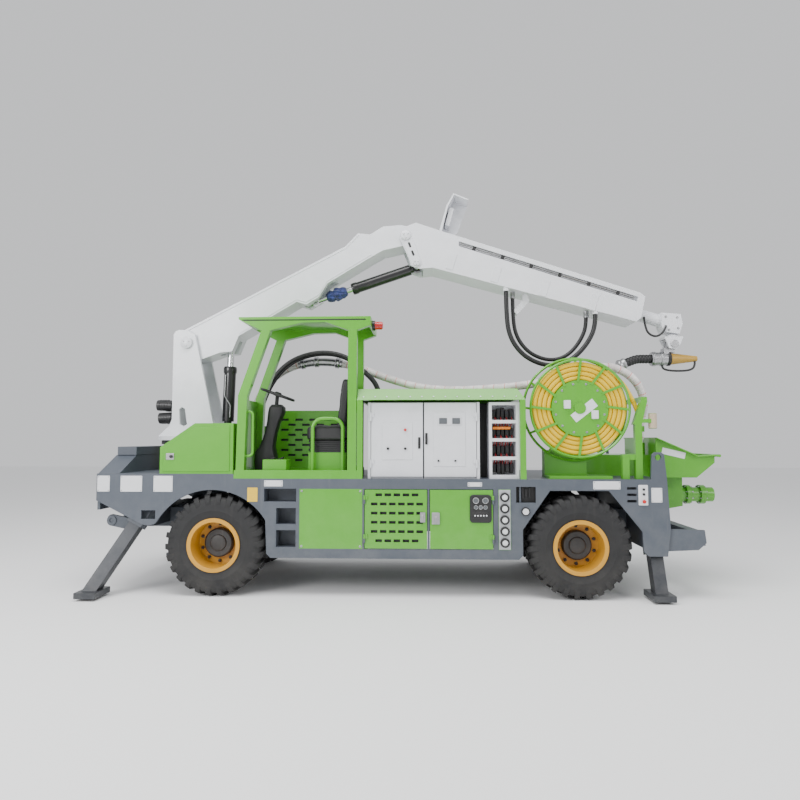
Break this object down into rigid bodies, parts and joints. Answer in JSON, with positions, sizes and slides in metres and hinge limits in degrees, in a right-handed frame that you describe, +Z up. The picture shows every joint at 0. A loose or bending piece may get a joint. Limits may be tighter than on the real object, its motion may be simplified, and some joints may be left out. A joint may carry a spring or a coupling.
{
  "type": "shotcrete rig",
  "caption": "Mobile shotcrete rig with an open cab, steered wheels, outriggers, hose reel, concrete pump with hopper and a slewing telescopic boom that carries a spray nozzle.",
  "frame": {"origin": "middle of the footprint, on the ground", "axes": "+X from the nose to the hopper, so the machine drives towards -X; +Y to its right side; +Z up"},
  "size_m": [7.0106, 2.6438, 4.677],
  "materials": {
    "black_paint": "satin",
    "black_plastic": "matte",
    "black_rubber": "satin",
    "blue_cloth": "matte",
    "cable_yellow": "satin",
    "chrome": "polished",
    "dark_steel": "satin",
    "engine_grey": "matte",
    "green_paint": "gloss",
    "lamp_body": "gloss",
    "nozzle_tan": "satin",
    "rim_yellow": "satin",
    "seat_black": "matte",
    "slate_paint": "satin",
    "steel": "brushed",
    "tyre_rubber": "matte",
    "white_hose": "satin",
    "white_paint": "gloss"
  },
  "bodies": {
    "chassis": {"axles": "dark_steel", "bay_frame": "green_paint", "cab_frame": "green_paint", "cab_roof": "green_paint", "cab_walls": "green_paint", "cabinets": "white_paint", "cable_lead": "cable_yellow", "chassis_frame": "dark_steel", "concrete_hose": "white_hose", "deck": "slate_paint", "engine": "engine_grey", "fender_boxes": "green_paint", "hopper": "green_paint", "lamps": "lamp_body", "nose_cowl": "slate_paint", "outrigger_housings": "dark_steel", "pedestal": "dark_steel", "pump": "green_paint", "reel_stands": "green_paint", "seat": "seat_black", "skirt_panels": "green_paint", "skirts": "slate_paint", "steering_column": "black_plastic"},
    "steering_wheel": {"steering_wheel": "black_plastic"},
    "vent_door": {"vent_door_left": "green_paint"},
    "tool_door": {"tool_door_left": "green_paint"},
    "cabinet_door_front": {"cabinet_door_front": "white_paint"},
    "cabinet_door_back": {"cabinet_door_back": "white_paint"},
    "knuckle_left": {"knuckle_left": "dark_steel"},
    "knuckle_right": {"knuckle_right": "dark_steel"},
    "wheel_front_left": {"tyre_front_left": "tyre_rubber", "rim_front_left": "rim_yellow"},
    "wheel_front_right": {"tyre_front_right": "tyre_rubber", "rim_front_right": "rim_yellow"},
    "wheel_rear_left": {"tyre_rear_left": "tyre_rubber", "rim_rear_left": "rim_yellow"},
    "wheel_rear_right": {"tyre_rear_right": "tyre_rubber", "rim_rear_right": "rim_yellow"},
    "leg_front_left": {"leg_front_left": "slate_paint"},
    "leg_front_right": {"leg_front_right": "slate_paint"},
    "leg_rear_left": {"leg_rear_left": "slate_paint"},
    "leg_rear_right": {"leg_rear_right": "slate_paint"},
    "reel": {"reel": "green_paint", "cable_coil": "cable_yellow"},
    "turret": {"turret": "white_paint", "turret_lamps": "lamp_body"},
    "boom": {"boom": "white_paint"},
    "arm": {"arm": "white_paint", "arm_lamp_guard": "white_paint", "arm_hoses": "black_rubber"},
    "telescope": {"telescope": "white_paint"},
    "rotary_unit": {"rotary_unit": "white_paint"},
    "nozzle": {"nozzle_body": "steel", "nozzle_tip": "nozzle_tan", "nozzle_hoses": "black_rubber"},
    "lift_barrel": {"lift_barrel": "black_paint"},
    "lift_rod": {"lift_rod": "chrome"},
    "arm_barrel": {"arm_barrel": "black_paint"},
    "arm_rod": {"arm_rod": "chrome", "rod_wrap": "blue_cloth"}
  },
  "joints": [
    {"name": "steer_left", "type": "hinge", "parent": "chassis", "child": "knuckle_left", "pos_m": [-2.1487, -0.69, 0.5375], "axis": [0, 0, 1], "range_deg": [-25, 25]},
    {"name": "front_wheel_left", "type": "hinge", "parent": "knuckle_left", "child": "wheel_front_left", "pos_m": [-2.1487, -0.873, 0.5375], "axis": [0, 1, 0], "continuous": true},
    {"name": "rear_wheel_left", "type": "hinge", "parent": "chassis", "child": "wheel_rear_left", "pos_m": [1.7053, -0.873, 0.5375], "axis": [0, 1, 0], "continuous": true},
    {"name": "steer_right", "type": "hinge", "parent": "chassis", "child": "knuckle_right", "pos_m": [-2.1487, 0.69, 0.5375], "axis": [0, 0, 1], "range_deg": [-25, 25]},
    {"name": "front_wheel_right", "type": "hinge", "parent": "knuckle_right", "child": "wheel_front_right", "pos_m": [-2.1487, 0.873, 0.5375], "axis": [0, 1, 0], "continuous": true},
    {"name": "rear_wheel_right", "type": "hinge", "parent": "chassis", "child": "wheel_rear_right", "pos_m": [1.7053, 0.873, 0.5375], "axis": [0, 1, 0], "continuous": true},
    {"name": "steering_wheel_turn", "type": "hinge", "parent": "chassis", "child": "steering_wheel", "pos_m": [-1.5777, -0.635, 2.165], "axis": [0.342, 0, 0.9397], "continuous": true},
    {"name": "vent_door_hinge", "type": "hinge", "parent": "chassis", "child": "vent_door", "pos_m": [-0.5447, -1.041, 0.8], "axis": [0, 0, -1], "range_deg": [0, 100]},
    {"name": "tool_door_hinge", "type": "hinge", "parent": "chassis", "child": "tool_door", "pos_m": [0.8093, -1.041, 0.8], "axis": [0, 0, 1], "range_deg": [0, 100]},
    {"name": "cabinet_front_hinge", "type": "hinge", "parent": "chassis", "child": "cabinet_door_front", "pos_m": [-0.4847, -0.971, 1.6], "axis": [0, 0, -1], "range_deg": [0, 100]},
    {"name": "cabinet_back_hinge", "type": "hinge", "parent": "chassis", "child": "cabinet_door_back", "pos_m": [0.6473, -0.971, 1.6], "axis": [0, 0, 1], "range_deg": [0, 100]},
    {"name": "front_leg_left", "type": "slide", "parent": "chassis", "child": "leg_front_left", "axis": [-0.4399, -0.3243, -0.8374], "range_m": [-0.2, 0.12]},
    {"name": "front_leg_right", "type": "slide", "parent": "chassis", "child": "leg_front_right", "axis": [-0.4399, 0.3243, -0.8374], "range_m": [-0.2, 0.12]},
    {"name": "rear_leg_left", "type": "slide", "parent": "chassis", "child": "leg_rear_left", "axis": [0, -0.3396, -0.9406], "range_m": [-0.2, 0.12]},
    {"name": "rear_leg_right", "type": "slide", "parent": "chassis", "child": "leg_rear_right", "axis": [0, 0.3396, -0.9406], "range_m": [-0.2, 0.12]},
    {"name": "reel_turn", "type": "hinge", "parent": "chassis", "child": "reel", "pos_m": [1.7463, -0.825, 1.99], "axis": [0, 1, 0], "continuous": true},
    {"name": "slew", "type": "hinge", "parent": "chassis", "child": "turret", "pos_m": [-2.7487, 0, 1.648], "axis": [0, 0, -1], "range_deg": [-270, 0]},
    {"name": "boom_lift", "type": "hinge", "parent": "turret", "child": "boom", "pos_m": [-2.7987, 0, 2.83], "axis": [0, -1, 0], "range_deg": [-6, 45]},
    {"name": "arm_fold", "type": "hinge", "parent": "boom", "child": "arm", "pos_m": [-0.1327, 0, 4.128], "axis": [0, -1, 0], "range_deg": [-10, 60]},
    {"name": "telescope_slide", "type": "slide", "parent": "arm", "child": "telescope", "axis": [0.9563, 0, -0.2924], "range_m": [0, 1.8]},
    {"name": "head_turn", "type": "hinge", "parent": "telescope", "child": "rotary_unit", "pos_m": [3.07419, 0, 2.92029], "axis": [0, 0, 1], "range_deg": [-120, 120]},
    {"name": "nozzle_tilt", "type": "hinge", "parent": "rotary_unit", "child": "nozzle", "pos_m": [3.07919, 0, 2.80029], "axis": [0, -1, 0], "range_deg": [-30, 90]},
    {"name": "lift_barrel_swing", "type": "hinge", "parent": "turret", "child": "lift_barrel", "pos_m": [-2.3537, 0, 1.79], "axis": [0, -1, 0], "range_deg": [-1.5, 6]},
    {"name": "lift_rod_slide", "type": "slide", "parent": "lift_barrel", "child": "lift_rod", "axis": [0.0311, 0, 0.9995], "range_m": [-0.06, 0.36]},
    {"name": "arm_barrel_swing", "type": "hinge", "parent": "arm", "child": "arm_barrel", "pos_m": [-0.0027, 0, 3.79], "axis": [0, -1, 0], "range_deg": [-55, 10]},
    {"name": "arm_rod_slide", "type": "slide", "parent": "arm_barrel", "child": "arm_rod", "axis": [-0.9491, 0, -0.3149], "range_m": [-0.06, 0.32]}
  ],
  "couplings": [
    {"joint": "steer_right", "follows": "steer_left", "ratio": 1},
    {"joint": "lift_barrel_swing", "follows": "boom_lift", "ratio": 0.1},
    {"joint": "lift_rod_slide", "follows": "boom_lift", "m_per_rad": 0.447},
    {"joint": "arm_barrel_swing", "follows": "arm_fold", "ratio": -0.9},
    {"joint": "arm_rod_slide", "follows": "arm_fold", "m_per_rad": 0.301}
  ]
}
